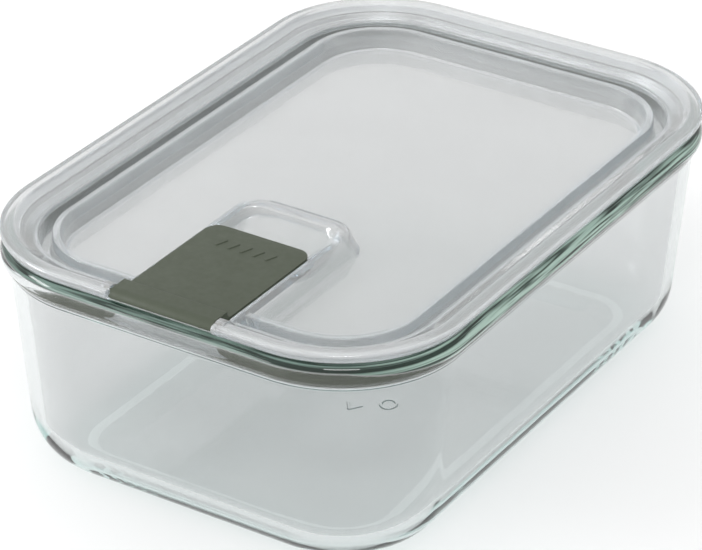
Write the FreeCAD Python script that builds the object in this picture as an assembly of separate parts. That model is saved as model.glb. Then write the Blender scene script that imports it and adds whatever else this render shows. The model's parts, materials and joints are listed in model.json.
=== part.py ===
"""Glass food storage box with a clear snap-in lid, a silicone seal and a lever clip.

Frame: millimetres, +Z up, origin at the centre of the base, length along Y, width along X.
The clip is at the -Y end.  Every horizontal section of the bowl, lid and seal is an offset of one
core rectangle, so a section is described by its distance r outside that rectangle.
"""
import FreeCAD
import Part
import math
import os

# Core rectangle through the four corner centres (half sizes)
CORE_X = 38.0
CORE_Y = 72.0

# Glass bowl, as offsets r from the core rectangle and heights z
RIM_R = 43.0            # widest point of the rim bead
RIM_TOP = 79.5
RIM_ROUND = 4.7         # outer shoulder of the bead
BEAD_FOOT = 70.6        # height where the bead grows out of the wall
BEAD_UNDER = 73.3       # lower end of the bead's widest part
WALL_TOP_R = 40.45      # outer wall just under the bead
WALL_BASE_R = 34.44     # outer wall line carried down to the base plane
BASE_ROUND = 19.0
FLOOR_TOP = 5.0
FLOOR_EDGE_R = 30.97    # inner wall line carried down to the floor plane
FLOOR_ROUND = 15.0
STEP_LOW = 68.6         # small ledge inside the mouth, where the seal ends
STEP_HIGH = 69.2
MOUTH_TOP_R = 37.5
MOUTH_STEP_R = 36.95
WALL_STEP_R = 36.2
FOOT_SLOPE_R = (1.5, 13.0)  # the base rises gently inside a narrow foot ring
FOOT_RECESS = 0.8
MARK_HEIGHT = 0.5       # raised moulding marks inside the recess
MARK_RING_AT = (18.5, -10.5)
MARK_CHEVRON_AT = (8.0, -20.5)

# Lid
GAP = 0.3               # running gap between the glass and everything on the lid
PANEL_TOP = 72.5        # sunken centre panel
SKIN = 1.8              # moulded wall thickness
PANEL_R = 21.8
LEDGE_TOP = 79.3
LEDGE_R = (24.2, 26.6)  # ridge between the sunken panel and the groove
GROOVE_R = (27.1, 30.5)
GROOVE_OUTER_R = 31.0
SLOPE_FOOT_R = 32.1
SLOPE_HEAD_R = 36.5
SLOPE_HEAD_Z = 81.5
CREST_Z = 83.25
CREST_R = 38.4
SKIRT_Z = 80.2
SKIRT_R = 42.2
LAND_R = 36.6           # plug just above the seal
CHANNEL_R = 33.2        # bottom of the seal channel
CHANNEL_Z = (70.6, 76.9)
PLUG_FOOT_R = 35.3
PLUG_FOOT_Z = 69.4

# Seal
SEAT = 0.1              # play of the seal in its channel
LIP_LOW_R = 36.75
LIP_HIGH_R = 37.0
SEAL_VALLEY_R = 35.3
SEAL_RISE_Z = 73.2      # under the clip the lower lip rises to this height
SEAL_RISE_X = (12.0, 26.0)

# Clip: a wide flap on a barrel whose pins turn in two ears of the lid
CLIP_HALF = 18.7
HINGE_Y = -111.8
HINGE_Z = 82.2
NOSE_R = 2.42           # nothing in front of the hinge axis reaches further than this
PIN_R = 0.75
PIN_LENGTH = 2.7
PIN_PLAY = 0.05
BARREL_TOP = 83.4
BARREL_BACK = -105.1
BARREL_FRONT = -114.2
BARREL_ROUND = 3.3
BARREL_UNDER = HINGE_Z - NOSE_R
FLAP_TOP = 81.0
FLAP_UNDER = 79.2
FLAP_END = -58.0
FLAP_CORNER = 5.0
BAR_RELIEF = 0.3        # plain raised bars near the flap's end
BAR_COUNT = 5
BAR_PITCH = 4.6
BAR_SIZE = (1.3, 4.8)
BAR_Y = -67.6
BAR_LEAN = 20.0

# Platform of the lid under the flap, with the finger scoop past the flap's end
DECK_TOP = 80.6
DECK_HALF = (23.6, 20.6, 19.4)       # at the panel, at the ledge and at the deck's top
DECK_END = (-30.0, -33.2, -37.0)
DECK_CORNER = (12.0, 10.0, 8.0)
DECK_FRONT = -104.6
POCKET_FLOOR = FLAP_UNDER - GAP
POCKET_PLAY = 0.35
SCOOP_HALF = 17.9
SCOOP_SPAN = (-70.0, -38.6)
SCOOP_LOWEST = (-56.5, 73.2)         # lowest point of the scoop (y, z), under the flap's end
SCOOP_CORNER = 7.0
EAR_WIDTH = 3.3
EAR_TOP = 83.7
EAR_BACK = -106.6

UP = FreeCAD.Vector(0, 0, 1)
CENTRE = FreeCAD.Vector(0, 0, 0)


def in_section(r, z):
    """Point of a ring section: r outward along X, z up."""
    return FreeCAD.Vector(r, 0, z)


def in_side_view(y, z):
    return FreeCAD.Vector(0, y, z)


def in_front_view(x, z):
    return FreeCAD.Vector(x, 0, z)


def outline(corners, place):
    """Closed wire through corners (u, v, fillet radius), every corner rounded by a tangent arc."""
    points = [place(u, v) for u, v, fillet in corners]
    joints = []
    for index, corner in enumerate(corners):
        point = points[index]
        fillet = corner[2]
        if fillet == 0:
            joints.append((point, None, point))
            continue
        back = (points[index - 1] - point).normalize()
        ahead = (points[(index + 1) % len(points)] - point).normalize()
        half_angle = back.getAngle(ahead) / 2
        setback = fillet / math.tan(half_angle)
        bisector = (back + ahead).normalize()
        middle = point + bisector * (fillet / math.sin(half_angle) - fillet)
        joints.append((point + back * setback, middle, point + ahead * setback))
    edges = []
    for index, (start, middle, end) in enumerate(joints):
        previous_end = joints[index - 1][2]
        if (start - previous_end).dot(points[index] - points[index - 1]) < -1e-6:
            raise ValueError("fillets run into each other before corner " + str(corners[index]))
        if previous_end.distanceToPoint(start) > 1e-6:
            edges.append(Part.LineSegment(previous_end, start).toShape())
        if middle is not None:
            edges.append(Part.Arc(start, middle, end).toShape())
    return Part.Wire(edges)


def fused(shapes):
    return shapes[0].multiFuse(shapes[1:]).removeSplitter()


def around_core(corners):
    """Carry a ring section round the core rectangle: four straight sides and four corner turns."""
    section = Part.Face(outline(corners, in_section))
    pieces = []
    for quarter, (x, y, side) in enumerate([
        (CORE_X, CORE_Y, 2 * CORE_Y),
        (-CORE_X, CORE_Y, 2 * CORE_X),
        (-CORE_X, -CORE_Y, 2 * CORE_Y),
        (CORE_X, -CORE_Y, 2 * CORE_X),
    ]):
        for piece in (section.revolve(CENTRE, UP, 90), section.extrude(FreeCAD.Vector(0, -side, 0))):
            piece.rotate(CENTRE, UP, 90 * quarter)
            piece.translate(FreeCAD.Vector(x, y, 0))
            pieces.append(piece)
    return pieces


def core_slab(low, high):
    return Part.makeBox(2 * CORE_X, 2 * CORE_Y, high - low, FreeCAD.Vector(-CORE_X, -CORE_Y, low))


def tongue(half_width, front, back, corner, z):
    """Plan outline with two rounded corners at its back end."""
    corners = [
        (-half_width, front, 0),
        (half_width, front, 0),
        (half_width, back, corner),
        (-half_width, back, corner),
    ]
    return outline(corners, lambda x, y: FreeCAD.Vector(x, y, z))


def across(corners, half_width):
    """Solid of one side view, symmetric about the middle of the width."""
    face = Part.Face(outline(corners, in_side_view))
    face.translate(FreeCAD.Vector(-half_width, 0, 0))
    return face.extrude(FreeCAD.Vector(2 * half_width, 0, 0))


def hinge_cylinder(radius, start_x, length):
    start = FreeCAD.Vector(start_x, HINGE_Y, HINGE_Z)
    return Part.makeCylinder(radius, length, start, FreeCAD.Vector(1, 0, 0))


def moulding_marks():
    """Plain ring and chevron raised in the recess under the floor."""
    low = FOOT_RECESS - MARK_HEIGHT
    height = MARK_HEIGHT + 0.4
    ring_centre = FreeCAD.Vector(*MARK_RING_AT, low)
    ring = Part.makeCylinder(3.4, height, ring_centre).cut(Part.makeCylinder(2.5, height, ring_centre))
    marks = [ring]
    for lean in (-35, 35):
        bar = Part.makeBox(1.0, 5.0, height, FreeCAD.Vector(-0.5, 0, low))
        bar.rotate(CENTRE, UP, lean)
        bar.translate(FreeCAD.Vector(*MARK_CHEVRON_AT, 0))
        marks.append(bar)
    return marks


def make_glass_bowl():
    corners = [
        (0, FOOT_RECESS, 0),
        (FOOT_SLOPE_R[0], FOOT_RECESS, 15.0),
        (FOOT_SLOPE_R[1], 0, 15.0),
        (WALL_BASE_R, 0, BASE_ROUND),
        (WALL_TOP_R, BEAD_FOOT, 5.0),
        (RIM_R, BEAD_UNDER, 2.0),
        (RIM_R, RIM_TOP, RIM_ROUND),
        (MOUTH_TOP_R, RIM_TOP, 0.7),
        (MOUTH_STEP_R, STEP_HIGH, 0.5),
        (WALL_STEP_R, STEP_LOW, 0.6),
        (FLOOR_EDGE_R, FLOOR_TOP, FLOOR_ROUND),
        (0, FLOOR_TOP, 0),
    ]
    return fused(around_core(corners) + [core_slab(FOOT_RECESS, FLOOR_TOP)] + moulding_marks())


def lid_shell():
    """Sunken panel, ridge, groove, sloped band, rim flange and the plug with its seal channel."""
    panel_under = PANEL_TOP - SKIN
    corners = [
        (0, PANEL_TOP, 0),
        (PANEL_R, PANEL_TOP, 1.2),
        (LEDGE_R[0], LEDGE_TOP, 0.5),
        (LEDGE_R[1], LEDGE_TOP, 0.5),
        (GROOVE_R[0], PANEL_TOP, 0.6),
        (GROOVE_R[1], PANEL_TOP, 0.6),
        (GROOVE_OUTER_R, LEDGE_TOP, 0.4),
        (SLOPE_FOOT_R, LEDGE_TOP, 1.2),
        (SLOPE_HEAD_R, SLOPE_HEAD_Z, 1.5),
        (CREST_R, CREST_Z, 1.5),
        (RIM_R, CREST_Z, 1.1),
        (RIM_R, SKIRT_Z + 1.7, 0.6),
        (SKIRT_R, SKIRT_Z, 0.3),
        (SKIRT_R - 0.6, RIM_TOP + GAP, 0.3),
        (LAND_R, RIM_TOP + GAP, 0.5),
        (LAND_R, CHANNEL_Z[1], 0.2),
        (CHANNEL_R, CHANNEL_Z[1], 0.2),
        (CHANNEL_R, CHANNEL_Z[0], 0.2),
        (PLUG_FOOT_R, CHANNEL_Z[0], 0.2),
        (PLUG_FOOT_R, PLUG_FOOT_Z, 0.4),
        (GROOVE_OUTER_R + 0.6, PLUG_FOOT_Z, 0.5),
        (GROOVE_OUTER_R + 0.4, panel_under, 0.4),
        (LEDGE_R[1] - 1.2, panel_under, 0.3),
        (LEDGE_R[0] + 0.8, LEDGE_TOP - SKIN - 1.4, 0.2),
        (LEDGE_R[0] - 1.1, panel_under, 0.3),
        (0, panel_under, 0),
    ]
    return around_core(corners) + [core_slab(panel_under, PANEL_TOP)]


def lid_deck():
    """Raised platform under the flap, with drafted sides and a sloped border."""
    levels = (PANEL_TOP - SKIN / 2, LEDGE_TOP, DECK_TOP)
    wires = [
        tongue(half, DECK_FRONT, end, corner, z)
        for half, end, corner, z in zip(DECK_HALF, DECK_END, DECK_CORNER, levels)
    ]
    return Part.makeLoft(wires, True, True)


def lid_ears():
    """Two clear ears of the rim flange that hold the clip's pins."""
    start = CLIP_HALF + POCKET_PLAY
    corners = [
        (BARREL_FRONT, SKIRT_Z - 0.2, 0.3),
        (BARREL_FRONT, EAR_TOP, 2.6),
        (HINGE_Y + 2.2, EAR_TOP, 1.5),
        (EAR_BACK, SLOPE_HEAD_Z - 0.6, 0.5),
        (EAR_BACK, SKIRT_Z - 0.2, 0),
    ]
    ears = []
    for left_edge in (start, -start - EAR_WIDTH):
        face = Part.Face(outline(corners, in_side_view))
        face.translate(FreeCAD.Vector(left_edge, 0, 0))
        ears.append(face.extrude(FreeCAD.Vector(EAR_WIDTH, 0, 0)))
    return ears


def clip_pocket():
    """Room for the clip: a notch through the rim flange and a shallow bed for the flap."""
    front = -CORE_Y - RIM_R - 5
    plan = tongue(
        CLIP_HALF + POCKET_PLAY, front, FLAP_END + POCKET_PLAY, FLAP_CORNER + POCKET_PLAY, POCKET_FLOOR)
    return Part.Face(plan).extrude(FreeCAD.Vector(0, 0, 10))


def finger_scoop():
    """Dish that lets a fingertip get under the end of the flap."""
    start, end = SCOOP_SPAN
    above = DECK_TOP + 2
    near = in_side_view(start, POCKET_FLOOR)
    far = in_side_view(end, DECK_TOP)
    far_above = in_side_view(end, above)
    near_above = in_side_view(start, above)
    dish_edges = [
        Part.Arc(near, in_side_view(*SCOOP_LOWEST), far).toShape(),
        Part.LineSegment(far, far_above).toShape(),
        Part.LineSegment(far_above, near_above).toShape(),
        Part.LineSegment(near_above, near).toShape(),
    ]
    face = Part.Face(Part.Wire(dish_edges))
    face.translate(FreeCAD.Vector(-SCOOP_HALF, 0, 0))
    dish = face.extrude(FreeCAD.Vector(2 * SCOOP_HALF, 0, 0))
    plan = tongue(SCOOP_HALF, start - 5, end, SCOOP_CORNER, SCOOP_LOWEST[1] - 1)
    return dish.common(Part.Face(plan).extrude(FreeCAD.Vector(0, 0, 20)))


def deck_hollow():
    """The platform is moulded as a shell, open underneath in front of the scoop."""
    front = -CORE_Y - LEDGE_R[0]
    back = SCOOP_SPAN[0] - SKIN
    wires = []
    for half, z in ((DECK_HALF[0] - SKIN, PANEL_TOP - SKIN), (DECK_HALF[1] - SKIN, POCKET_FLOOR - SKIN)):
        corners = [(-half, front, 2.0), (half, front, 2.0), (half, back, 2.0), (-half, back, 2.0)]
        wires.append(outline(corners, lambda x, y: FreeCAD.Vector(x, y, z)))
    return Part.makeLoft(wires, True, True)


def make_lid():
    lid = fused(lid_shell()).fuse(lid_deck())
    lid = lid.cut(clip_pocket())
    lid = lid.cut(finger_scoop())
    lid = lid.cut(deck_hollow())
    lid = fused([lid] + lid_ears())
    hole_depth = PIN_LENGTH + POCKET_PLAY
    for start_x in (CLIP_HALF, -CLIP_HALF - hole_depth):
        lid = lid.cut(hinge_cylinder(PIN_R + PIN_PLAY, start_x, hole_depth))
    return lid


def make_seal_ring():
    low = CHANNEL_Z[0] + SEAT
    high = CHANNEL_Z[1] - SEAT
    middle = (low + high) / 2
    corners = [
        (CHANNEL_R + SEAT, low, 0.2),
        (SEAL_VALLEY_R + 0.3, low, 0.3),
        (LIP_LOW_R, low + 0.6, 0.4),
        (LIP_LOW_R, low + 1.6, 0.4),
        (SEAL_VALLEY_R, middle, 0.6),
        (LIP_HIGH_R, high - 1.8, 0.4),
        (LIP_HIGH_R, high - 0.6, 0.4),
        (LAND_R - 0.3, high, 0.3),
        (CHANNEL_R + SEAT, high, 0.2),
    ]
    ring = fused(around_core(corners))
    inner, outer = SEAL_RISE_X
    arch = [
        (-outer, low - 1, 0),
        (-inner, SEAL_RISE_Z, 6.0),
        (inner, SEAL_RISE_Z, 6.0),
        (outer, low - 1, 0),
    ]
    face = Part.Face(outline(arch, in_front_view))
    face.translate(FreeCAD.Vector(0, -CORE_Y - RIM_R, 0))
    return ring.cut(face.extrude(FreeCAD.Vector(0, RIM_R / 2, 0)))


def grip_bars():
    """Row of plain slanted bars raised on the flap."""
    bars = []
    width, length = BAR_SIZE
    for index in range(BAR_COUNT):
        bar = Part.makeBox(width, length, BAR_RELIEF + 0.2, FreeCAD.Vector(-width / 2, -length / 2, 0))
        bar.rotate(CENTRE, UP, -BAR_LEAN)
        x = (index - (BAR_COUNT - 1) / 2) * BAR_PITCH
        bar.translate(FreeCAD.Vector(x, BAR_Y, FLAP_TOP - 0.2))
        bars.append(bar)
    return bars


def make_clip():
    corners = [
        (FLAP_END, FLAP_UNDER, 0.5),
        (FLAP_END, FLAP_TOP, 0.5),
        (BARREL_BACK + 0.5, FLAP_TOP, 1.0),
        (BARREL_BACK, BARREL_TOP, 0.6),
        (BARREL_FRONT, BARREL_TOP, BARREL_ROUND),
        (BARREL_FRONT, BARREL_UNDER, 0),
        (HINGE_Y + 2.8, BARREL_UNDER, 0.5),
        (HINGE_Y + 3.8, FLAP_UNDER, 0.5),
    ]
    clip = across(corners, CLIP_HALF)
    front_room = hinge_cylinder(NOSE_R, -CLIP_HALF, 2 * CLIP_HALF)
    plan = tongue(CLIP_HALF, HINGE_Y, FLAP_END, FLAP_CORNER, FLAP_UNDER - 1)
    rear_room = Part.Face(plan).extrude(FreeCAD.Vector(0, 0, 10))
    clip = clip.common(front_room.fuse(rear_room))
    pins = [
        hinge_cylinder(PIN_R, CLIP_HALF - 1, PIN_LENGTH + 1),
        hinge_cylinder(PIN_R, -CLIP_HALF - PIN_LENGTH, PIN_LENGTH + 1),
    ]
    return fused([clip] + pins + grip_bars())


def main():
    os.makedirs("parts", exist_ok=True)
    nodes = {
        "glass_bowl": make_glass_bowl(),
        "lid": make_lid(),
        "seal_ring": make_seal_ring(),
        "clip": make_clip(),
    }
    for name, shape in nodes.items():
        shape.exportStep("parts/" + name + ".step")
        box = shape.optimalBoundingBox()
        print(name, "solids", len(shape.Solids), "valid", shape.isValid(), "volume", round(shape.Volume),
              "x", round(box.XMin, 2), round(box.XMax, 2), "y", round(box.YMin, 2), round(box.YMax, 2),
              "z", round(box.ZMin, 2), round(box.ZMax, 2))


main()
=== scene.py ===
"""Looks of a glass food box with a translucent lid, a silicone seal and a lever clip.

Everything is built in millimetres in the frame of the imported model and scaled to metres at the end.
The bowl, lid and seal share one idea: each horizontal section is an offset of one core rectangle,
so a surface is a section (r outside that rectangle, height z) carried round the rectangle.
The clip is at the front, -Y, and X runs along its hinge.
"""

import json
import math

import bmesh
import bpy
from mathutils import Matrix, Vector


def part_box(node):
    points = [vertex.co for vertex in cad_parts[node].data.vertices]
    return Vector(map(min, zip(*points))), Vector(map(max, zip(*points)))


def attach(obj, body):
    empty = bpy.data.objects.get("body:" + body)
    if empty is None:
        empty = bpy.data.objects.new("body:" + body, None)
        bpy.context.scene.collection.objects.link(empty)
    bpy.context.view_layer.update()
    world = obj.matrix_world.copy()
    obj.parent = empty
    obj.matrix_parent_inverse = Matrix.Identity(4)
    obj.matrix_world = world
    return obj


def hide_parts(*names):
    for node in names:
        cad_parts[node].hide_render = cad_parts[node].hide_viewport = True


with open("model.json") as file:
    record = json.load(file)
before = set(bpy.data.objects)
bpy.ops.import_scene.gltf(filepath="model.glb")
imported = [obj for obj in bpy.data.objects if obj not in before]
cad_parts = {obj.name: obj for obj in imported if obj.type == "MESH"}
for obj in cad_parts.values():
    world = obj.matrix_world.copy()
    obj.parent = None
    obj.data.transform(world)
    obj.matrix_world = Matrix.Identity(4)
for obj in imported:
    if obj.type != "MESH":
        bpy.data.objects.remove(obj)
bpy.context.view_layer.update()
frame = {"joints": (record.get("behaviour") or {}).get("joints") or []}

MM = 0.001
BOWL_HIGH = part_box("glass_bowl")[1] / MM
LID_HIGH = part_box("lid")[1] / MM
SEAL_LOW, SEAL_HIGH = (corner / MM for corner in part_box("seal_ring"))
CLIP_LOW, CLIP_HIGH = (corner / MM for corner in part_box("clip"))
CLIP_JOINT = next(joint for joint in frame["joints"] if joint["name"] == "clip_open")
HINGE_Y, HINGE_Z = (value / MM for value in CLIP_JOINT["pos_m"][1:])

# Core rectangle and the largest offset from it
RIM_R = 43.0
CORE_X = BOWL_HIGH.x - RIM_R
CORE_Y = BOWL_HIGH.y - RIM_R
RIM_TOP = BOWL_HIGH.z

# Bowl: floor, small step inside the mouth, rim bead, neck under it, foot and sunk underside
FLOOR_TOP = 5.0
FLOOR_R = 30.97
STEP_FOOT = (36.2, 68.6)
STEP_HEAD = (36.95, 69.2)
MOUTH_R = 37.5
BEAD_FOOT_Z = 73.3
NECK = (40.45, 70.6)
FOOT_R = 34.44
STAND_R = 13.0
RECESS_R = 1.5
RECESS_Z = 0.8

# Marks under the bowl: a ring and a chevron, whose relief falls off between two distances from their lines
MARK_RELIEF = 0.3
MARK_EDGE = (0.15, 0.85)
RING_PLACE = (18.5, -10.5)
RING_RADIUS = 2.95
CHEVRON_PLACE = (8.0, -20.5)
CHEVRON_LENGTH = 4.6
CHEVRON_LEAN = math.radians(35)

# Grid lines that follow fine shapes, for X and then Y, or for X alone: first line, spacing and count
MARK_LINES = ((4.0, 0.3, 64), (-23.0, 0.3, 58))
ARCH_LINES = (-37.0, 1.0, 75)
DECK_LINES = ((-25.0, 0.5, 101), (2.0 - CORE_Y, 0.5, 88))

# Lid heights and offsets; the skirt is the foot of the flange's outer wall, which slants outwards above it
GAP = 0.3
SKIN = 1.8
PANEL_TOP = 72.5
PANEL_UNDER = PANEL_TOP - SKIN
PANEL_R = 21.8
LEDGE_TOP = 79.3
LEDGE_R = (24.2, 26.6)
GROOVE_R = (27.1, 30.5)
GROOVE_OUTER_R = 31.0
SLOPE_FOOT_R = 32.1
SLOPE_HEAD = (36.5, 81.5)
CREST_R = 38.4
CREST_Z = 83.25
SKIRT = (42.2, 80.2)
SKIRT_RISE = 1.7
SKIRT_WIDTH = 0.6
LAND_R = 36.6
CHANNEL_R = 33.2
CHANNEL_Z = (70.6, 76.9)
PLUG_FOOT = (35.3, 69.4)
SECTION_SPACING = 0.6

# Seal: lips, valley between them, and the raised part of the lower lip under the clip
SEAL_SEAT_R = CHANNEL_R + 0.1
SEAL_VALLEY_R = 35.3
LOW_LIP_R = 36.75
HIGH_LIP_R = 37.0
ARCH_LOW = 73.2
ARCH_X = (11.0, 26.0)

# Clip
CLIP_HALF = 18.7
FLAP_END = CLIP_HIGH.y
FLAP_TOP = 81.0
FLAP_UNDER = CLIP_LOW.z
FLAP_CORNER = 5.0
NOSE_R = 2.42
NOSE_BACK = (2.8, 3.8)
BARREL_BACK = -105.1
BARREL_TOP = CLIP_HIGH.z
BARREL_FRONT = -114.2
BARREL_ROUND = 3.3
GRIP_Y = -67.6

# Hinge pins and the blind bores that hold them
PIN_R = 0.75
PIN_REACH = 21.4
PIN_CHAMFER = 0.2
PIN_PLAY = 0.05
PIN_HOLE_DEPTH = 2.5

# Bed of the clip in the lid
BED_PLAY = 0.35
BED_FLOOR = FLAP_UNDER - GAP
BED_HALF = CLIP_HALF + BED_PLAY
BED_END = FLAP_END + BED_PLAY
BED_CORNER = FLAP_CORNER + BED_PLAY

# Platform under the flap, whose top slopes down over a border that is wider at the back
DECK_TOP = 80.6
DECK_HALF = 20.6
DECK_END = -33.2
DECK_CORNER = 10.0
DECK_FRONT = -104.6
DECK_SPREAD = 3.1
DECK_BORDER = (1.2, 3.8)
DECK_REACH = 8.0
FOOT_BLEND = 0.5
TOP_BLEND = 0.4
RING_BLEND = 0.7

# Finger scoop in the platform, whose floor runs on level a little way under the flap
SCOOP_HALF = 17.9
SCOOP_END = -38.6
SCOOP_CORNER = 7.0
SCOOP_START = -70.0
SCOOP_LEAD = 3.0
SCOOP_LOWEST = (-56.5, 73.2)
SCOOP_EDGE = (-2.4, 0.2)

# Hollow under the platform, which fades in under the ridge at the front
HOLLOW_FADE = 1.2
HOLLOW_FRONT = -CORE_Y - LEDGE_R[0] - HOLLOW_FADE

# Ears that hold the pins
EAR_WIDTH = 3.3
EAR_TOP = LID_HIGH.z
EAR_FOOT = 80.0
EAR_CREST_BACK = -109.6
EAR_BACK = -106.6


# ---------------------------------------------------------------- outlines

def rounded(corners, closed=True, step=10.0, hold=0.25):
    """Points of an outline through corners (u, v, fillet radius), every fillet a tangent arc.

    Long straight stretches get a point close to each end, so that smooth shading stays on the arcs.
    """
    points = [Vector((u, v)) for u, v, fillet in corners]
    count = len(points)
    parts = []
    for index, point in enumerate(points):
        fillet = corners[index][2]
        at_end = not closed and index in (0, count - 1)
        if fillet == 0 or at_end:
            parts.append([point])
            continue
        back = (points[index - 1] - point).normalized()
        ahead = (points[(index + 1) % count] - point).normalized()
        half = back.angle(ahead) / 2
        centre = point + (back + ahead).normalized() * fillet / math.sin(half)
        start = point + back * fillet / math.tan(half) - centre
        turn = math.pi - 2 * half
        if back.x * ahead.y - back.y * ahead.x > 0:
            turn = -turn
        pieces = max(2, math.ceil(abs(math.degrees(turn)) / step))
        arc = [centre + Matrix.Rotation(turn * k / pieces, 2) @ start for k in range(pieces + 1)]
        parts.append(arc)
    outline = []
    for index, part in enumerate(parts):
        outline.extend(part)
        if not closed and index == count - 1:
            break
        start, end = part[-1], parts[(index + 1) % count][0]
        length = (end - start).length
        if length > 4 * hold:
            outline.append(start.lerp(end, hold / length))
            outline.append(start.lerp(end, 1 - hold / length))
    return [tuple(point) for point in outline]


def filled_in(section, reach):
    """Adds points along the section as far out as reach, wherever it runs sideways in r."""
    dense = [section[0]]
    for (r0, z0), (r1, z1) in zip(section, section[1:]):
        inside = max(r0, r1) <= reach + 1e-6
        pieces = max(1, round(abs(r1 - r0) / SECTION_SPACING)) if inside else 1
        for k in range(1, pieces + 1):
            dense.append((r0 + (r1 - r0) * k / pieces, z0 + (z1 - z0) * k / pieces))
    return dense


def held(half, close=1.5):
    """Stations of a plain straight side: its ends and a point close to each."""
    return [-half, close - half, half - close, half]


def lines(half, start, spacing, count, extra=()):
    """Stations of a straight side with a run of evenly spaced ones and some extra ones."""
    return sorted({*held(half), *(start + spacing * k for k in range(count)), *extra})


def stations(xs, ys, corner_pieces):
    """Places round the core rectangle: (x, y, outward direction)."""
    places = []
    sides = [
        ([(CORE_X, y) for y in ys], 0),
        ([(x, CORE_Y) for x in reversed(xs)], 90),
        ([(-CORE_X, y) for y in reversed(ys)], 180),
        ([(x, -CORE_Y) for x in xs], 270),
    ]
    for side, angle in sides:
        outward = Vector((math.cos(math.radians(angle)), math.sin(math.radians(angle))))
        for x, y in side:
            places.append((x, y, outward))
        for k in range(1, corner_pieces):
            turned = math.radians(angle + 90 * k / corner_pieces)
            places.append((*side[-1], Vector((math.cos(turned), math.sin(turned)))))
    return places


def smooth_step(value, low, high):
    """0 up to low, 1 from high on, with an S-shaped rise between."""
    t = min(max((value - low) / (high - low), 0.0), 1.0)
    return t * t * (3 - 2 * t)


def smooth_max(a, b, blend):
    """The larger of two values, rounded off where they are close."""
    h = min(max(0.5 + 0.5 * (a - b) / blend, 0.0), 1.0)
    return b + (a - b) * h + blend * h * (1 - h)


def smooth_min(a, b, blend):
    """The smaller of two values, rounded off where they are close."""
    return -smooth_max(-a, -b, blend)


def tongue_distance(x, y, half, end, corner):
    """Distance outside a strip |x| < half, y < end whose two far corners are rounded."""
    dx = abs(x) - (half - corner)
    dy = y - (end - corner)
    return math.hypot(max(dx, 0), max(dy, 0)) + min(max(dx, dy), 0) - corner


# ---------------------------------------------------------------- meshes and pieces

def loop_surface(bm, places, section, closed=False):
    """Carries a section round the core rectangle."""
    rows = []
    for x, y, outward in places:
        rows.append([bm.verts.new((x + r * outward.x, y + r * outward.y, z)) for r, z in section])
    count = len(section)
    for row, after in zip(rows, rows[1:] + rows[:1]):
        for k in range(count if closed else count - 1):
            n = (k + 1) % count
            bm.faces.new((row[k], after[k], after[n], row[n]))


def core_grid(bm, xs, ys, z, upward):
    """Grid over the core rectangle at one height."""
    rows = [[bm.verts.new((x, y, z)) for x in xs] for y in ys]
    for row, after in zip(rows, rows[1:]):
        for k in range(len(xs) - 1):
            face = (row[k], row[k + 1], after[k + 1], after[k])
            bm.faces.new(face if upward else face[::-1])


def closed_tube(bm, rings):
    """Joins rings of points, all with the same count, and closes the first and the last."""
    rings = [[bm.verts.new(point) for point in ring] for ring in rings]
    for low, high in zip(rings, rings[1:]):
        for j in range(len(low)):
            n = (j + 1) % len(low)
            bm.faces.new((low[j], low[n], high[n], high[j]))
    bm.faces.new(rings[0][::-1])
    bm.faces.new(rings[-1])


def soften(bm, angle, width):
    """Rounds the edges that are sharper than an angle in degrees."""
    bmesh.ops.recalc_face_normals(bm, faces=bm.faces)
    edges = [e for e in bm.edges if e.is_manifold and e.calc_face_angle() > math.radians(angle)]
    bmesh.ops.bevel(bm, geom=edges, offset=width, segments=4, profile=0.5, affect="EDGES",
                    clamp_overlap=True)


def new_object(name, data):
    """Object with this data, linked into the scene."""
    thing = bpy.data.objects.new(name, data)
    bpy.context.scene.collection.objects.link(thing)
    return thing


def solid_object(bm, name):
    """Welds a mesh in millimetres and returns it as an object, not yet a piece."""
    bmesh.ops.remove_doubles(bm, verts=bm.verts, dist=1e-4)
    bmesh.ops.dissolve_degenerate(bm, edges=bm.edges, dist=1e-5)
    bmesh.ops.recalc_face_normals(bm, faces=bm.faces)
    mesh = bpy.data.meshes.new(name)
    bm.to_mesh(mesh)
    bm.free()
    return new_object(name, mesh)


def combine(solid, tool, operation):
    """Joins another solid to the first or cuts it out of it, and removes the other."""
    modifier = solid.modifiers.new("combine", "BOOLEAN")
    modifier.object = tool
    modifier.operation = operation
    modifier.solver = "MANIFOLD"
    graph = bpy.context.evaluated_depsgraph_get()
    mesh = bpy.data.meshes.new_from_object(solid.evaluated_get(graph))
    solid.modifiers.clear()
    solid.data = mesh
    bpy.data.objects.remove(tool)


def make_piece(solid, name, body, material, replaced, sharp=35.0):
    """Scales a solid to metres, smooths its shading and puts it on its body with its material."""
    solid.name = name
    mesh = solid.data
    mesh.name = name
    mesh.transform(Matrix.Scale(MM, 4))
    mesh.shade_smooth()
    mesh.set_sharp_from_angle(angle=math.radians(sharp))
    mesh.materials.clear()
    mesh.materials.append(material)
    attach(solid, body)
    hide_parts(replaced)


# ---------------------------------------------------------------- shader nodes

def fill(tree, node, inputs):
    """Sets a node's inputs: a socket is linked, a number, vector or colour tuple is written in."""
    for key, value in inputs.items():
        socket = node.inputs[key]
        if isinstance(value, bpy.types.NodeSocket):
            tree.links.new(value, socket)
        elif isinstance(value, tuple):
            socket.default_value = (*value, 1)
        else:
            socket.default_value = value


def add_node(tree, kind, inputs, **settings):
    """New shader node with its settings and inputs."""
    node = tree.nodes.new("ShaderNode" + kind)
    for key, value in settings.items():
        setattr(node, key, value)
    fill(tree, node, inputs)
    return node


def add_math(tree, operation, *values):
    """One Math node over sockets or plain numbers."""
    return add_node(tree, "Math", dict(enumerate(values)), operation=operation).outputs["Value"]


def add_map(tree, value, span, low=0.0, high=1.0, curve="LINEAR"):
    """Takes a value from a span (start, end) to low and high, and holds it between them."""
    inputs = {"Value": value, "From Min": span[0], "From Max": span[1], "To Min": low, "To Max": high}
    return add_node(tree, "MapRange", inputs, interpolation_type=curve).outputs["Result"]


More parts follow.
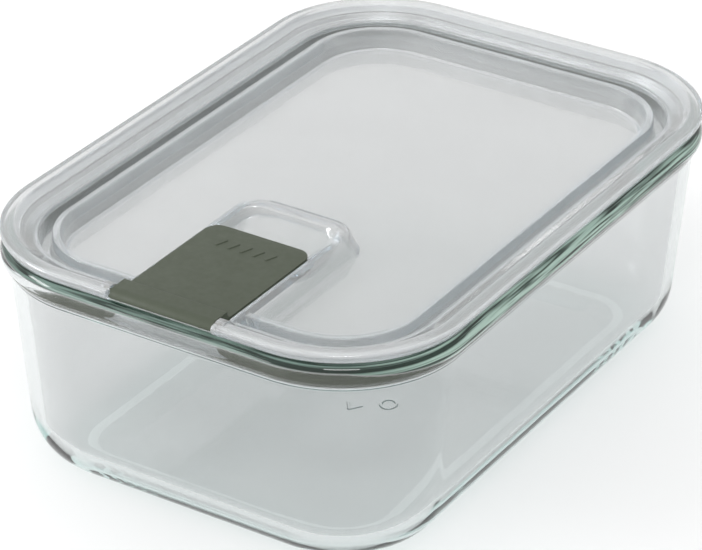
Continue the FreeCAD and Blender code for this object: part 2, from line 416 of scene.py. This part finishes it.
def add_mix(tree, factor, first, second):
    """Colour between two colours, each a socket or three numbers."""
    inputs = {"Factor": factor, "A": first, "B": second}
    return add_node(tree, "Mix", inputs, data_type="RGBA").outputs["Result"]


def object_coordinates(tree):
    """The object's own coordinates, in metres."""
    return add_node(tree, "TexCoord", {}).outputs["Object"]


def add_noise(tree, place, scale, detail):
    """Noise over a place; scale is in features per unit of the place."""
    return add_node(tree, "TexNoise", {"Vector": place, "Scale": scale, "Detail": detail}).outputs["Fac"]


def add_varied(tree, low, high, scale, detail):
    """Number that drifts between low and high over the surface."""
    noise = add_noise(tree, object_coordinates(tree), scale, detail)
    return add_map(tree, noise, NOISE_SPAN, low, high)


def add_tone(tree, first, second, scale, detail):
    """Colour that drifts between two close colours over the surface."""
    return add_mix(tree, add_varied(tree, 0.0, 1.0, scale, detail), first, second)


def add_bump(tree, scale, detail, distance, strength):
    """Fine relief: the distance is its height in metres."""
    height = add_noise(tree, object_coordinates(tree), scale, detail)
    inputs = {"Height": height, "Distance": distance, "Strength": strength}
    return add_node(tree, "Bump", inputs).outputs["Normal"]


def new_material(name):
    """Material with one Principled shader; returns it, its node tree and the shader."""
    material = bpy.data.materials.new(name)
    material.use_nodes = True
    tree = material.node_tree
    tree.nodes.clear()
    shader = add_node(tree, "BsdfPrincipled", {})
    add_node(tree, "OutputMaterial", {"Surface": shader.outputs["BSDF"]})
    return material, tree, shader


def see_through(tree, shader, passed, deep, density):
    """Gives the solid a colour that deepens along light's way through it; density is per metre.

    Lamps and diffuse bounces pass straight through, so that what is under the surface stays lit.
    """
    path = add_node(tree, "LightPath", {}).outputs
    straight = add_math(tree, "MAXIMUM", path["Is Shadow Ray"], path["Is Diffuse Ray"])
    clear = add_node(tree, "BsdfTransparent", {"Color": passed})
    mix = add_node(tree, "MixShader", {"Fac": straight, 1: shader.outputs["BSDF"], 2: clear.outputs["BSDF"]})
    absorption = add_node(tree, "VolumeAbsorption", {"Color": deep, "Density": density})
    output = tree.nodes["Material Output"]
    fill(tree, output, {"Surface": mix.outputs["Shader"], "Volume": absorption.outputs["Volume"]})


# ---------------------------------------------------------------- materials

# Most of a noise's values lie in this span
NOISE_SPAN = (0.3, 0.7)

# Where the rim bead gets painted shade, a dark green standing in for dark surroundings seen in it, in
# metres: near its top, on its outer shoulder, further down towards +X
SHOULDER_Z = ((RIM_TOP - 3.3) * MM, (RIM_TOP - 2.4) * MM)
SHOULDER_R = ((RIM_R - 3.4) * MM, (RIM_R - 2.6) * MM)
RIGHT_X = ((CORE_X + 24) * MM, (CORE_X + 42) * MM)
RIGHT_DROP = 2.4 * MM
PAINTED_SHADE_COVER = 0.9

# Painted streaks of reflection in the painted shade: features per metre across, how much slower they change
# along the rim, and their colours
STREAK_SCALE = 1300.0
STREAK_LENGTHENING = 0.03
STREAK_CONTRAST = (-0.5, 1.5)
DARK_PAINTED_STREAKS = ((0.004, 0.016, 0.010), (0.13, 0.20, 0.17))
PALE_PAINTED_STREAKS = ((0.006, 0.022, 0.014), (0.36, 0.50, 0.43))


def ring_coordinates(tree):
    """Offset from the core rectangle, height, x, and a place that changes along every side, in metres."""
    split = add_node(tree, "SeparateXYZ", {"Vector": object_coordinates(tree)}).outputs
    squares = []
    for axis, half in (("X", CORE_X), ("Y", CORE_Y)):
        beyond = add_math(tree, "SUBTRACT", add_math(tree, "ABSOLUTE", split[axis]), half * MM)
        squares.append(add_math(tree, "POWER", add_math(tree, "MAXIMUM", beyond, 0.0), 2.0))
    offset = add_math(tree, "SQRT", add_math(tree, "ADD", *squares))
    along = add_math(tree, "SUBTRACT", split["X"], split["Y"])
    return offset, split["Z"], split["X"], along


def rim_painted_shade(tree):
    """Mask of the rim bead's shoulder, and the painted shade it takes: a dark green with painted streaks of
    reflection, paler towards +X.
    """
    offset, height, across, along = ring_coordinates(tree)
    right = add_map(tree, across, RIGHT_X)
    raised = add_math(tree, "ADD", height, add_math(tree, "MULTIPLY", right, RIGHT_DROP))
    near_top = add_map(tree, raised, SHOULDER_Z, curve="SMOOTHSTEP")
    outside = add_map(tree, offset, SHOULDER_R, curve="SMOOTHSTEP")
    shade_mask = add_math(tree, "MULTIPLY", near_top, outside)
    slow = add_math(tree, "MULTIPLY", along, STREAK_LENGTHENING)
    place = add_node(tree, "CombineXYZ", {"X": offset, "Y": height, "Z": slow}).outputs["Vector"]
    streaks = add_map(tree, add_noise(tree, place, STREAK_SCALE, 2.0), NOISE_SPAN, *STREAK_CONTRAST)
    deep = add_mix(tree, streaks, *DARK_PAINTED_STREAKS)
    pale = add_mix(tree, streaks, *PALE_PAINTED_STREAKS)
    return shade_mask, add_mix(tree, right, deep, pale)


def make_glass():
    """Clear pressed glass whose edges look green by absorption; the thick rim's shoulder also gets painted
    shade with painted streaks of reflection.
    """
    material, tree, shader = new_material("pressed_glass")
    shade_mask, painted_colour = rim_painted_shade(tree)
    # Painted shade: on the rim's shoulder most of the transmission gives way to the dark streaked green
    painted_cover = add_math(tree, "MULTIPLY", shade_mask, PAINTED_SHADE_COVER)
    fill(tree, shader, {
        "Base Color": add_mix(tree, shade_mask, (0.835, 0.83, 0.835), painted_colour),
        "Transmission Weight": add_math(tree, "SUBTRACT", 1.0, painted_cover),
        "IOR": 1.5,
        "Roughness": add_varied(tree, 0.0, 0.004, 60, 2.0),
        "Normal": add_bump(tree, 45, 1.0, 0.0004, 0.12),
    })
    see_through(tree, shader, (0.955, 0.958, 0.957), (0.10, 0.68, 0.60), 6.0)
    return material


def make_milky_plastic():
    """Translucent polypropylene: light passes, but a soft haze hides what is behind."""
    material, tree, shader = new_material("milky_polypropylene")
    fill(tree, shader, {
        "Base Color": add_tone(tree, (0.73, 0.73, 0.725), (0.755, 0.755, 0.75), 35, 3.0),
        "Transmission Weight": 0.80,
        "IOR": 1.49,
        "Roughness": add_varied(tree, 0.17, 0.20, 90, 2.0),
        "Coat Weight": 0.9,
        "Coat Roughness": 0.05,
        "Coat IOR": 1.45,
        "Normal": add_bump(tree, 160, 2.0, 0.00006, 0.15),
    })
    see_through(tree, shader, (0.84, 0.84, 0.84), (0.66, 0.84, 0.95), 30.0)
    return material


def make_matte_plastic():
    """Spark-eroded olive moulding with a fine even grain."""
    material, tree, shader = new_material("olive_moulding")
    fill(tree, shader, {
        "Base Color": add_tone(tree, (0.056, 0.068, 0.044), (0.061, 0.074, 0.049), 180, 4.0),
        "IOR": 1.46,
        "Roughness": add_varied(tree, 0.46, 0.56, 500, 2.0),
        "Normal": add_bump(tree, 2200, 2.0, 0.00003, 0.35),
    })
    return material


def make_silicone():
    """Soft olive silicone, slightly duller and darker than the clip."""
    material, tree, shader = new_material("olive_silicone")
    fill(tree, shader, {
        "Base Color": add_tone(tree, (0.026, 0.036, 0.013), (0.031, 0.042, 0.017), 120, 3.0),
        "IOR": 1.42,
        "Specular IOR Level": 0.25,
        "Roughness": add_varied(tree, 0.4, 0.5, 400, 2.0),
        "Normal": add_bump(tree, 250, 2.0, 0.00003, 0.25),
    })
    return material


def make_pale_matte():
    """Plain pale surface of the floor."""
    material, tree, shader = new_material("pale_floor")
    fill(tree, shader, {
        "Base Color": add_tone(tree, (0.92, 0.92, 0.92), (0.94, 0.94, 0.94), 3, 2.0),
        "Roughness": 0.9,
    })
    return material


# ---------------------------------------------------------------- glass bowl

def moulding_mark(x, y):
    """How far the small marks stand out of the underside: a plain ring and a chevron."""
    nearest = abs(math.hypot(x - RING_PLACE[0], y - RING_PLACE[1]) - RING_RADIUS)
    lean = Vector((math.sin(CHEVRON_LEAN), math.cos(CHEVRON_LEAN)))
    for side in (-1, 1):
        u, v = (x - CHEVRON_PLACE[0]) * side, y - CHEVRON_PLACE[1]
        along = min(max(u * lean.x + v * lean.y, 0), CHEVRON_LENGTH)
        nearest = min(nearest, math.hypot(u - along * lean.x, v - along * lean.y))
    return MARK_RELIEF * (1 - smooth_step(nearest, *MARK_EDGE))


def make_bowl():
    """Thick-footed bowl with a rounded rim bead and a small step inside the mouth."""
    section = rounded([
        (0, FLOOR_TOP, 0),
        (FLOOR_R, FLOOR_TOP, 15.0),
        (*STEP_FOOT, 0.6),
        (*STEP_HEAD, 0.5),
        (MOUTH_R, RIM_TOP, 0.7),
        (RIM_R, RIM_TOP, 4.7),
        (RIM_R, BEAD_FOOT_Z, 2.0),
        (*NECK, 5.0),
        (FOOT_R, 0, 19.0),
        (STAND_R, 0, 15.0),
        (RECESS_R, RECESS_Z, 15.0),
        (0, RECESS_Z, 0),
    ], closed=False, step=6.0, hold=0.4)
    xs = lines(CORE_X, *MARK_LINES[0])
    ys = lines(CORE_Y, *MARK_LINES[1])
    bm = bmesh.new()
    loop_surface(bm, stations(xs, ys, corner_pieces=40), section)
    core_grid(bm, xs, ys, FLOOR_TOP, upward=True)
    core_grid(bm, xs, ys, RECESS_Z, upward=False)
    for vertex in bm.verts:
        x, y, z = vertex.co
        if z < RECESS_Z + 1e-3 and abs(x) < CORE_X - 1 and abs(y) < CORE_Y - 1:
            vertex.co.z -= moulding_mark(x, y)
    make_piece(solid_object(bm, "bowl"), "bowl_glass", "bowl", make_glass(), "glass_bowl")


# ---------------------------------------------------------------- seal

def make_seal():
    """Two-lipped ring; under the clip its lower lip rises, so the lid vents there first."""
    low, high = SEAL_LOW.z, SEAL_HIGH.z
    section = rounded([
        (SEAL_SEAT_R, low, 0.2),
        (SEAL_VALLEY_R + 0.3, low, 0.3),
        (LOW_LIP_R, low + 0.6, 0.4),
        (LOW_LIP_R, low + 1.6, 0.4),
        (SEAL_VALLEY_R, (low + high) / 2, 0.6),
        (HIGH_LIP_R, high - 1.8, 0.4),
        (HIGH_LIP_R, high - 0.6, 0.4),
        (HIGH_LIP_R - 0.7, high, 0.3),
        (SEAL_SEAT_R, high, 0.2),
    ], step=15.0, hold=0.2)
    xs = lines(CORE_X, *ARCH_LINES)
    bm = bmesh.new()
    loop_surface(bm, stations(xs, held(CORE_Y), corner_pieces=40), section, closed=True)
    for vertex in bm.verts:
        x, y, z = vertex.co
        if y < -CORE_Y:
            arch = low + (ARCH_LOW - low) * (1 - smooth_step(abs(x), *ARCH_X))
            vertex.co.z = high - (high - z) * (high - arch) / (high - low)
    make_piece(solid_object(bm, "seal"), "seal_silicone", "lid_assembly",
               make_silicone(), "seal_ring")


# ---------------------------------------------------------------- lid

def dish_height(y):
    """Floor of the finger scoop: the arc through its two ends and its lowest point."""
    start = Vector((SCOOP_START, BED_FLOOR))
    lowest = Vector(SCOOP_LOWEST)
    end = Vector((SCOOP_END, DECK_TOP))
    a, b = lowest - start, end - start
    cross = 2 * (a.x * b.y - a.y * b.x)
    centre = start + Vector((
        (b.y * a.length_squared - a.y * b.length_squared) / cross,
        (a.x * b.length_squared - b.x * a.length_squared) / cross,
    ))
    radius = (start - centre).length
    return centre.y - math.sqrt(max(radius ** 2 - (y - centre.x) ** 2, 0))


def deck_height(x, y):
    """Top of the platform under the flap, falling away past its sloped border."""
    outside = tongue_distance(x, y, DECK_HALF, DECK_END, DECK_CORNER)
    beside = max(abs(x) - (DECK_HALF - DECK_CORNER), 0)
    beyond = max(y - (DECK_END - DECK_CORNER), 0)
    facing_back = beyond ** 2 / max(beside ** 2 + beyond ** 2, 1e-6)
    border = DECK_BORDER[0] + (DECK_BORDER[1] - DECK_BORDER[0]) * facing_back
    wall = LEDGE_TOP - outside * (LEDGE_TOP - PANEL_TOP) / DECK_SPREAD
    slope = LEDGE_TOP - outside * (DECK_TOP - LEDGE_TOP) / border
    return smooth_min(smooth_min(wall, slope, FOOT_BLEND), DECK_TOP, TOP_BLEND)


def lid_top(x, y, z):
    """Height of the lid's upper side where the plain ring section has height z."""
    if abs(x) > DECK_HALF + DECK_REACH or y > DECK_END + DECK_REACH:
        return z
    if y > DECK_FRONT:
        z = smooth_max(z, deck_height(x, y), RING_BLEND)
    scoop = tongue_distance(x, y, SCOOP_HALF, SCOOP_END, SCOOP_CORNER)
    if scoop < 0 and y > SCOOP_START - SCOOP_LEAD:
        dish = dish_height(max(y, SCOOP_START))
        z = min(z, dish + (max(z, dish) - dish) * smooth_step(scoop, *SCOOP_EDGE))
    return z


def deck_surface(x, y):
    """Upper side of the platform with its scoop and the clip's bed, or the plain panel."""
    z = lid_top(x, y, PANEL_TOP)
    in_bed = tongue_distance(x, y, BED_HALF, BED_END, BED_CORNER) < 0
    return min(z, BED_FLOOR) if in_bed else z


def lid_under(x, y, z):
    """Height of the underside, which keeps one skin's thickness below the platform above it."""
    if abs(x) > DECK_HALF + DECK_SPREAD or y > DECK_END + DECK_SPREAD or y < HOLLOW_FRONT:
        return z
    lowest = deck_surface(x, y) - SKIN
    for reach in (SKIN / 3, SKIN * 2 / 3, SKIN):
        depth = math.sqrt(SKIN ** 2 - reach ** 2)
        for turn in range(8):
            angle = math.radians(45 * turn)
            beside_y = max(y + reach * math.sin(angle), HOLLOW_FRONT)
            beside = deck_surface(x + reach * math.cos(angle), beside_y)
            lowest = min(lowest, beside - depth)
    fade = min(max((y - HOLLOW_FRONT) / HOLLOW_FADE, 0.0), 1.0)
    return max(z, PANEL_UNDER + (lowest - PANEL_UNDER) * fade)


def lid_shell():
    """One moulding: sunken panel, ridge, groove, sloped band, rim flange, plug and clip platform."""
    top = rounded([
        (0, PANEL_TOP, 0),
        (PANEL_R, PANEL_TOP, 1.2),
        (LEDGE_R[0], LEDGE_TOP, 0.5),
        (LEDGE_R[1], LEDGE_TOP, 0.5),
        (GROOVE_R[0], PANEL_TOP, 0.6),
        (GROOVE_R[1], PANEL_TOP, 0.6),
        (GROOVE_OUTER_R, LEDGE_TOP, 0.4),
        (SLOPE_FOOT_R, LEDGE_TOP, 1.2),
        (*SLOPE_HEAD, 1.5),
        (CREST_R, CREST_Z, 1.5),
        (RIM_R, CREST_Z, 1.1),
        (RIM_R, SKIRT[1] + SKIRT_RISE, 0.6),
        (*SKIRT, 0),
    ], closed=False, step=15.0)
    under = rounded([
        (*SKIRT, 0),
        (SKIRT[0] - SKIRT_WIDTH, RIM_TOP + GAP, 0.3),
        (LAND_R, RIM_TOP + GAP, 0.5),
        (LAND_R, CHANNEL_Z[1], 0.2),
        (CHANNEL_R, CHANNEL_Z[1], 0.2),
        (CHANNEL_R, CHANNEL_Z[0], 0.2),
        (PLUG_FOOT[0], CHANNEL_Z[0], 0.2),
        (*PLUG_FOOT, 0.4),
        (GROOVE_OUTER_R + 0.6, PLUG_FOOT[1], 0.5),
        (GROOVE_OUTER_R + 0.4, PANEL_UNDER, 0.4),
        (LEDGE_R[1] - 1.2, PANEL_UNDER, 0.3),
        (LEDGE_R[0] + 0.8, LEDGE_TOP - SKIN - 1.4, 0.2),
        (LEDGE_R[0] - 1.1, PANEL_UNDER, 0.3),
        (0, PANEL_UNDER, 0),
    ], closed=False, step=25.0)
    xs = lines(CORE_X, *DECK_LINES[0], extra=(-31.0, 31.0))
    ys = lines(CORE_Y, *DECK_LINES[1], extra=(-20.0, 0.0, 30.0))
    places = stations(xs, ys, corner_pieces=24)
    bm = bmesh.new()
    loop_surface(bm, places, filled_in(top, RIM_R))
    core_grid(bm, xs, ys, PANEL_TOP, upward=True)
    for vertex in bm.verts:
        vertex.co.z = lid_top(*vertex.co)
    above = set(bm.verts)
    loop_surface(bm, places, filled_in(under, LEDGE_R[0] + 1.5))
    core_grid(bm, xs, ys, PANEL_UNDER, upward=False)
    for vertex in bm.verts:
        if vertex not in above:
            vertex.co.z = lid_under(*vertex.co)
    return solid_object(bm, "lid")


def ear(side):
    """One of the two rounded lobes that hold the clip's pins."""
    profile = rounded([
        (BARREL_FRONT, EAR_FOOT, 0.3),
        (BARREL_FRONT, EAR_TOP, 2.6),
        (EAR_CREST_BACK, EAR_TOP, 1.5),
        (EAR_BACK, DECK_TOP + 0.3, 0.5),
        (EAR_BACK, EAR_FOOT, 0.2),
    ])
    bm = bmesh.new()
    closed_tube(bm, [[(side * x, y, z) for y, z in profile] for x in (BED_HALF, BED_HALF + EAR_WIDTH)])
    soften(bm, angle=60, width=0.45)
    return solid_object(bm, "ear")


def hinge_circle(x, radius):
    """Points round the hinge axis."""
    turns = [math.radians(angle) for angle in range(0, 360, 15)]
    return [(x, HINGE_Y + radius * math.cos(turn), HINGE_Z + radius * math.sin(turn)) for turn in turns]


def pin_hole(side):
    """Blind bore in the inner face of an ear for the end of the clip's pin."""
    ends = (CLIP_HALF, BED_HALF + PIN_HOLE_DEPTH)
    bm = bmesh.new()
    closed_tube(bm, [hinge_circle(side * x, PIN_R + PIN_PLAY) for x in ends])
    return solid_object(bm, "pin_hole")


def clip_pocket():
    """Room for the closed clip: a flat bed open to the front, with soft edges."""
    foot, lip = 0.35, 0.25
    past_front, above_ears = -120.0, EAR_TOP + 2
    # Levels of the cutter: (growth beyond the bed's outline, height)
    levels = []
    for angle in range(0, 91, 18):
        turn = math.radians(angle)
        levels.append((-foot * (1 - math.sin(turn)), BED_FLOOR + foot * (1 - math.cos(turn))))
    for angle in range(0, 73, 18):
        turn = math.radians(angle)
        levels.append((lip * (1 - math.cos(turn)), DECK_TOP - lip + lip * math.sin(turn)))
    levels.append((lip, above_ears))
    rings = []
    for growth, z in levels:
        half, radius = BED_HALF + growth, BED_CORNER + growth
        outline = [(half, past_front), (half, BED_END - BED_CORNER)]
        for angle in range(6, 91, 6):
            turn = math.radians(angle)
            x = BED_HALF - BED_CORNER + radius * math.cos(turn)
            outline.append((x, BED_END - BED_CORNER + radius * math.sin(turn)))
        outline += [(-x, y) for x, y in reversed(outline)]
        rings.append([(x, y, z) for x, y in outline])
    bm = bmesh.new()
    closed_tube(bm, rings)
    return solid_object(bm, "pocket")


def make_lid():
    """Shell with its ears, cut out for the clip and its pins."""
    lid = lid_shell()
    for side in (-1, 1):
        combine(lid, ear(side), "UNION")
    combine(lid, clip_pocket(), "DIFFERENCE")
    for side in (-1, 1):
        combine(lid, pin_hole(side), "DIFFERENCE")
    make_piece(lid, "lid_plastic", "lid_assembly", make_milky_plastic(), "lid", sharp=40.0)


# ---------------------------------------------------------------- clip

def flap_half_width(y):
    """Half width of the flap at y, narrowing round its two far corners."""
    past = y - (FLAP_END - FLAP_CORNER)
    if past <= 0:
        return CLIP_HALF
    return CLIP_HALF - FLAP_CORNER + math.sqrt(max(FLAP_CORNER ** 2 - past ** 2, 0))


def clip_body():
    """Wide flap with two rounded corners on a thick rounded barrel."""
    under = HINGE_Z - NOSE_R
    straight_end = FLAP_END - FLAP_CORNER
    profile = rounded([
        (straight_end, FLAP_TOP, 0),
        (BARREL_BACK + 0.5, FLAP_TOP, 1.2),
        (BARREL_BACK, BARREL_TOP, 0.8),
        (BARREL_FRONT, BARREL_TOP, BARREL_ROUND),
        (BARREL_FRONT, under, 0.3),
        (HINGE_Y + NOSE_BACK[0], under, 0.5),
        (HINGE_Y + NOSE_BACK[1], FLAP_UNDER, 0.5),
        (straight_end, FLAP_UNDER, 0),
    ], closed=False, step=8.0, hold=0.6)
    # In front of the hinge axis the profile is drawn in to the round nose
    hinge = Vector((HINGE_Y, HINGE_Z))
    rows = []
    for y, z in profile:
        point = Vector((y, z)) - hinge
        if point.x < 0 and point.length > NOSE_R:
            point = point.normalized() * NOSE_R
        rows.append(tuple(point + hinge))
    turns = [math.sin(math.radians(angle)) for angle in range(9, 91, 9)]
    rows += [(straight_end + FLAP_CORNER * turn, FLAP_UNDER) for turn in turns]
    rows += [(straight_end + FLAP_CORNER * turn, FLAP_TOP) for turn in reversed(turns)]
    bm = bmesh.new()
    left, right = [], []
    for y, z in rows:
        half = flap_half_width(y)
        left.append(bm.verts.new((-half, y, z)))
        right.append(bm.verts.new((half, y, z)))
    for k in range(len(rows)):
        n = (k + 1) % len(rows)
        bm.faces.new((left[k], left[n], right[n], right[k]))
    # Each side is one flat face as far as the corner, and a strip of small faces round it
    body_rows, corner_rows = len(profile), len(turns)
    for side in (left, right):
        bm.faces.new(side[:body_rows])
        low = side[body_rows - 1:body_rows + corner_rows]
        high = [side[0]] + side[:-corner_rows - 1:-1]
        for k in range(corner_rows):
            bm.faces.new((low[k], low[k + 1], high[k + 1], high[k]))
    soften(bm, angle=50, width=0.28)
    return solid_object(bm, "clip_body")


def grip_bars():
    """Plain slanted bars near the end of the flap, each a low rounded ridge."""
    count, pitch = 5, 4.6
    length, width, relief, sunk = 4.8, 1.3, 0.3, 0.4
    # (inset of the outline, height above the sunk foot)
    levels = [(0.0, 0.0), (0.0, sunk), (0.06, sunk + 0.6 * relief), (0.22, sunk + relief)]
    slant = Matrix.Rotation(math.radians(-20), 4, "Z")
    bm = bmesh.new()
    for k in range(count):
        across = (k - (count - 1) / 2) * pitch
        place = Matrix.Translation((across, GRIP_Y, FLAP_TOP - sunk)) @ slant
        rings = []
        for inset, z in levels:
            radius = width / 2 - inset
            ring = []
            for side, first in ((-1, 180), (1, 0)):
                for angle in range(first, first + 181, 20):
                    turn = math.radians(angle)
                    y = side * (length - width) / 2 + radius * math.sin(turn)
                    ring.append(place @ Vector((radius * math.cos(turn), y, z)))
            rings.append(ring)
        closed_tube(bm, rings)
    return solid_object(bm, "grip_bars")


def hinge_pins():
    """Pin through the barrel whose two ends stand out into the ears."""
    tip, shaft = PIN_REACH, PIN_REACH - PIN_CHAMFER
    stops = [(-tip, PIN_R - PIN_CHAMFER), (-shaft, PIN_R), (shaft, PIN_R), (tip, PIN_R - PIN_CHAMFER)]
    bm = bmesh.new()
    closed_tube(bm, [hinge_circle(x, radius) for x, radius in stops])
    return solid_object(bm, "hinge_pins")


def make_clip():
    """Flap and barrel with the grip bars and the two pins, in one moulding."""
    clip = clip_body()
    combine(clip, grip_bars(), "UNION")
    combine(clip, hinge_pins(), "UNION")
    make_piece(clip, "clip_flap", "lever_clip", make_matte_plastic(), "clip")


# ---------------------------------------------------------------- stage, light and camera

# Dome of light: the direction in which it is brightest, and its span of strength
DOME_TOWARDS = (-0.45, -0.25, 0.86)
DOME_SPAN = (-0.1, 0.85)
DOME_STRENGTH = (0.76, 1.06)

# Softboxes: name, azimuth from +X, elevation, distance and size in metres, power in watts
SOFTBOXES = [
    ("front", -58, 48, 2.2, (0.85, 0.25), 7),
    ("left", -146, 28, 2.0, (0.7, 0.3), 8),
    ("low", -128, 22, 1.6, (0.8, 0.2), 2.2),
]
LAMP_TARGET = Vector((0, 0, 0.06))

# Camera: azimuth from the front towards +X, in degrees; places in metres; lens and sensor in millimetres
CAMERA_AZIMUTH = 32.06
CAMERA_ELEVATION = 29.74
CAMERA_ROLL = 0.28
CAMERA_DISTANCE = 1.110
CAMERA_TARGET = Vector((0, 0, 0.035))
CAMERA_ASIDE = (0.000475, 0.000601)
CAMERA_SHIFT = (-0.0180, 0.0161)
SENSOR = 36.0
LENS = 172.5077


def make_floor():
    """Wide pale floor under the box."""
    half = 6.0
    corners = [(-half, -half, 0), (half, -half, 0), (half, half, 0), (-half, half, 0)]
    mesh = bpy.data.meshes.new("floor")
    mesh.from_pydata(corners, [], [(0, 1, 2, 3)])
    mesh.materials.append(make_pale_matte())
    floor = new_object("floor", mesh)


def make_world():
    """Soft dome, brightest high on the left in front and dim low on the other side."""
    world = bpy.data.worlds.new("studio")
    world.use_nodes = True
    tree = world.node_tree
    direction = add_node(tree, "TexCoord", {}).outputs["Generated"]
    brightest = Vector(DOME_TOWARDS).normalized()
    towards = add_node(tree, "VectorMath", {0: direction, 1: brightest}, operation="DOT_PRODUCT")
    strength = add_map(tree, towards.outputs["Value"], DOME_SPAN, *DOME_STRENGTH, curve="SMOOTHSTEP")
    fill(tree, tree.nodes["Background"], {"Color": (1, 1, 1), "Strength": strength})
    bpy.context.scene.world = world


def make_softbox(name, azimuth, elevation, distance, size, power):
    """Area lamp aimed at the box."""
    turned, raised = math.radians(azimuth), math.radians(elevation)
    level = math.cos(raised)
    away = Vector((level * math.cos(turned), level * math.sin(turned), math.sin(raised)))
    light = bpy.data.lights.new(name, "AREA")
    light.shape = "RECTANGLE"
    light.size, light.size_y = size
    light.energy = power
    lamp = new_object(name, light)
    lamp.location = LAMP_TARGET + away * distance
    lamp.rotation_euler = (-away).to_track_quat("-Z", "Y").to_euler()


def make_camera():
    """Camera to the right of the clip, looking down at 30 degrees from 1.1 m."""
    turned, raised = math.radians(CAMERA_AZIMUTH), math.radians(CAMERA_ELEVATION)
    roll = math.radians(CAMERA_ROLL)
    level = math.cos(raised)
    back = Vector((math.sin(turned) * level, -math.cos(turned) * level, math.sin(raised)))
    right = Vector((math.cos(turned), math.sin(turned), 0))
    up = back.cross(right)
    data = bpy.data.cameras.new("camera")
    data.sensor_width = SENSOR
    data.lens = LENS
    data.shift_x, data.shift_y = CAMERA_SHIFT
    data.clip_start, data.clip_end = 0.05, 50
    camera = new_object("camera", data)
    rolled_right = right * math.cos(roll) + up * math.sin(roll)
    rolled_up = up * math.cos(roll) - right * math.sin(roll)
    place = CAMERA_TARGET + back * CAMERA_DISTANCE + right * CAMERA_ASIDE[0] + up * CAMERA_ASIDE[1]
    axes = Matrix((rolled_right, rolled_up, back)).transposed()
    camera.matrix_world = Matrix.Translation(place) @ axes.to_4x4()
    bpy.context.scene.camera = camera


make_bowl()
make_seal()
make_lid()
make_clip()
make_floor()
make_world()
for softbox in SOFTBOXES:
    make_softbox(*softbox)
make_camera()
scene = bpy.context.scene
scene.view_settings.view_transform = "Standard"
scene.cycles.max_bounces = 32
scene.cycles.transmission_bounces = 32
scene.cycles.glossy_bounces = 16
